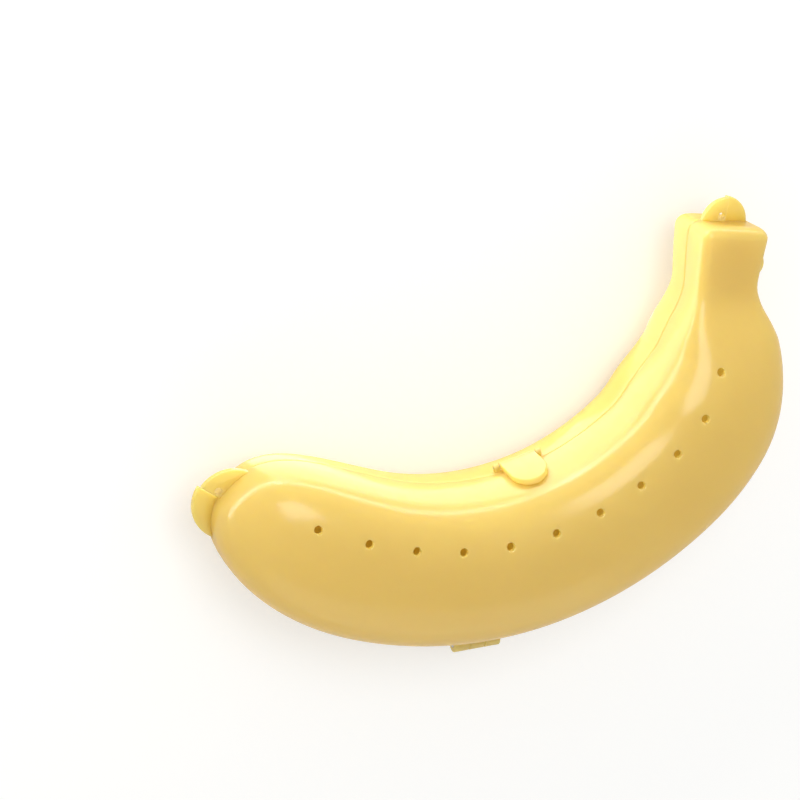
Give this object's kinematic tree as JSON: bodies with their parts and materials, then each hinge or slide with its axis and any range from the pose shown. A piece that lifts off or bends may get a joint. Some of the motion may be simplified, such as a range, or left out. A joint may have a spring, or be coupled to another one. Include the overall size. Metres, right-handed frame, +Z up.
{
  "type": "banana carrying case",
  "caption": "Banana-shaped two-shell carrying case with a pinned hinge on the outer curve, a flap latch on the inner curve, rows of air holes, and pry tabs with cord eyes at both ends.",
  "frame": {"origin": "under the middle of the shut case, on the surface that it lies on", "axes": "+Z up through the lid, +X from the stem end to the blossom tip, -Y out of the inside of the bend where the latch is"},
  "size_m": [0.2134, 0.1556, 0.0539],
  "materials": {
    "shell_plastic": "gloss",
    "latch_plastic": "gloss",
    "pin_steel": "satin"
  },
  "bodies": {
    "base": {"rear_shell": "shell_plastic", "hinge_pin": "pin_steel", "latch_pin": "pin_steel"},
    "lid": {"front_shell": "shell_plastic"},
    "latch": {"thumb_latch": "latch_plastic"}
  },
  "joints": [
    {"name": "lid_hinge", "type": "hinge", "parent": "base", "child": "lid", "pos_m": [0.0059, 0.0751, 0.02693], "axis": [-1, 0, 0], "range_deg": [0, 180]},
    {"name": "latch_pivot", "type": "hinge", "parent": "base", "child": "latch", "pos_m": [-0.00961, 0.00871, 0.02523], "axis": [0.9744, 0.225, 0], "range_deg": [0, 100]}
  ]
}
